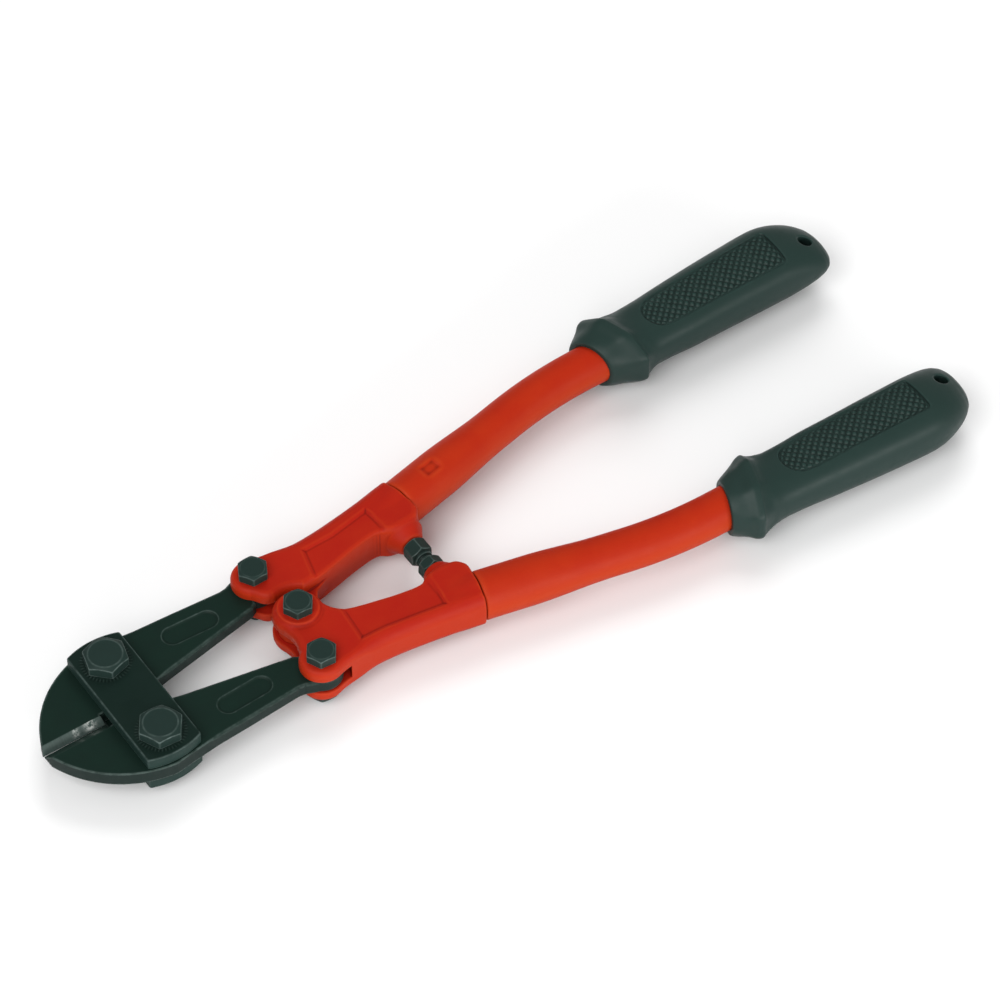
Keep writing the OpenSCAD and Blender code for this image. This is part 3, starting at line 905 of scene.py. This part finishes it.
def station(x, y):
    """Place along the grip; near the collar its sections lean towards the tube."""
    side = y - GRIP_MID(x)
    s = x
    for _ in range(2):
        s = x + side * COLLAR_LEAN * (1 - np.clip((s - 161) / 27, 0, 1))
    return s


def grip_field(x, y, z):
    s = station(x, y)
    mid, a, b, n = GRIP_MID(s), GRIP_A(s), GRIP_B(s), GRIP_N(s)
    u, v = np.abs(y - mid) / a, np.abs(z) / b
    round_size = (u**n + v**n + 1e-12) ** (1 / n)
    # the collar's ridge has eight soft facets
    p = 22
    sides = u**p + v**p + ((u + v) * HALF_ROOT) ** p + (np.abs(u - v) * HALF_ROOT) ** p
    eight = (sides + 1e-12) ** (1 / p) * 1.02
    facets = ramp(150, 157, s) * ramp(166, 162, s)
    size = round_size * (1 - facets) + eight * facets
    f = (size - 1) * np.minimum(a, b)
    f = common(f, x - END_X)
    f = common(f, (GRIP_ROWS[0][0] - s) * math.cos(COLLAR_LEAN), 0.5)
    # dimpled panel on both faces
    w, mid = PANEL_W(x), PANEL_MID(x)
    mid_x, half_x = (PANEL_X0 + PANEL_X1) / 2, (PANEL_X1 - PANEL_X0) / 2
    round_r = np.where(x < mid_x, w, 2.0)
    qx = np.abs(x - mid_x) - half_x + round_r
    qy = np.abs(y - mid) - w + round_r
    edge = np.hypot(np.maximum(qx, 0), np.maximum(qy, 0)) + np.minimum(np.maximum(qx, qy), 0) - round_r
    row = np.round((y - mid) / STUD_Y)
    along = x - 174 + (row % 2) * STUD_X / 2
    du = along - np.round(along / STUD_X) * STUD_X
    dv = (y - mid) - row * STUD_Y
    others = np.hypot(np.abs(du) - STUD_X / 2, np.abs(dv) - STUD_Y)
    stud = np.clip(1 - np.minimum(np.hypot(du, dv), others) / STUD_R, 0, 1)
    stud = STUD_HEIGHT * stud * (2 - stud) * ramp(-0.7, -1.2, edge)
    raised = stud + 0.15 * ramp(-0.8, -0.4, edge)
    level = PANEL_Z(x) + PANEL_TILT * (y - mid) - PANEL_SINK
    sunk = join(common(level - np.abs(z), -f - PANEL_DEEP), -f - PANEL_SHALLOW)
    f = cut(f, common(sunk + raised, edge), 0.25)
    f = cut(f, np.hypot(x - HANG_X, y - HANG_Y) - HANG_R, 0.7)
    bore = common(np.hypot(y - GRIP_Y, z) - TUBE_R_END - 0.05, x - TUBE_X1 - 0.2)
    return cut(f, bore, 0.1)


def make_grips():
    low, high = (142, 26, -13.2), (END_X, 58.5, 13.2)
    mesh = net(grip_field, low, high, 0.32)
    both_sides("grip", mesh, "arm_{}", "grip_rubber", GRIP_RUBBER)


# ---------- stage, light and camera ----------
# camera solved from the photo: mm of lens, degrees, metres, and mm from the centre bolt
LENS, AZIMUTH, ELEVATION, DISTANCE = 175.88, -34.325, 50.023, 1.6889
AIM_X, AIM_Y = 86.94, 6.58


def make_stage():
    """Plain pale floor, just under the lowest point of the tool."""
    size = 6.0
    mesh = bpy.data.meshes.new("studio_floor")
    z = CAD_BOX[0][2] - 0.0002
    corners = [(-size, -size, z), (size, -size, z), (size, size, z), (-size, size, z)]
    mesh.from_pydata(corners, [], [(0, 1, 2, 3)])
    floor = bpy.data.objects.new("studio_floor", mesh)
    bpy.context.scene.collection.objects.link(floor)
    m, nodes, links, shader = material("floor_pale")
    shader.inputs["Base Color"].default_value = (0.9, 0.9, 0.9, 1)
    shader.inputs["Roughness"].default_value = 0.9
    shader.inputs["Specular IOR Level"].default_value = 0.1
    mesh.materials.append(m)


def area_light(name, place, size, power, shine=True):
    """Soft lamp aimed at the middle of the tool."""
    data = bpy.data.lights.new(name, "AREA")
    data.shape = "RECTANGLE"
    data.size, data.size_y = size
    data.energy = power
    light = bpy.data.objects.new(name, data)
    bpy.context.scene.collection.objects.link(light)
    light.visible_glossy = shine
    light.location = place
    light.rotation_euler = (-Vector(place)).to_track_quat("-Z", "Y").to_euler()


def make_light():
    world = bpy.data.worlds.new("studio")
    world.use_nodes = True
    world.node_tree.nodes["Background"].inputs["Color"].default_value = (1, 1, 1, 1)
    world.node_tree.nodes["Background"].inputs["Strength"].default_value = 0.34
    bpy.context.scene.world = world
    area_light("key", (0.6, 0.75, 1.05), (0.9, 0.9), 10, False)
    area_light("side", (-0.9, -0.5, 1.1), (1.2, 1.0), 16)
    area_light("front", (0.1, -1.3, 0.34), (1.4, 0.4), 12)


def make_camera():
    data = bpy.data.cameras.new("camera")
    data.lens = LENS
    data.sensor_width = 36
    data.clip_start, data.clip_end = 0.05, 20
    camera = bpy.data.objects.new("camera", data)
    bpy.context.scene.collection.objects.link(camera)
    azimuth, elevation = math.radians(AZIMUTH), math.radians(ELEVATION)
    aim = (Vector((AIM_X, AIM_Y, 0)) + CENTER) * MM
    back = Vector((math.sin(azimuth) * math.cos(elevation), -math.cos(azimuth) * math.cos(elevation),
                   math.sin(elevation)))
    camera.location = aim + back * DISTANCE
    camera.rotation_euler = back.to_track_quat("Z", "Y").to_euler()
    bpy.context.scene.camera = camera
    bpy.context.scene.view_settings.view_transform = "Standard"


make_camera()
make_stage()
make_light()
make_plates()
make_bolts()
make_stop()
make_jaws()
make_arm_heads()
make_tubes()
make_grips()
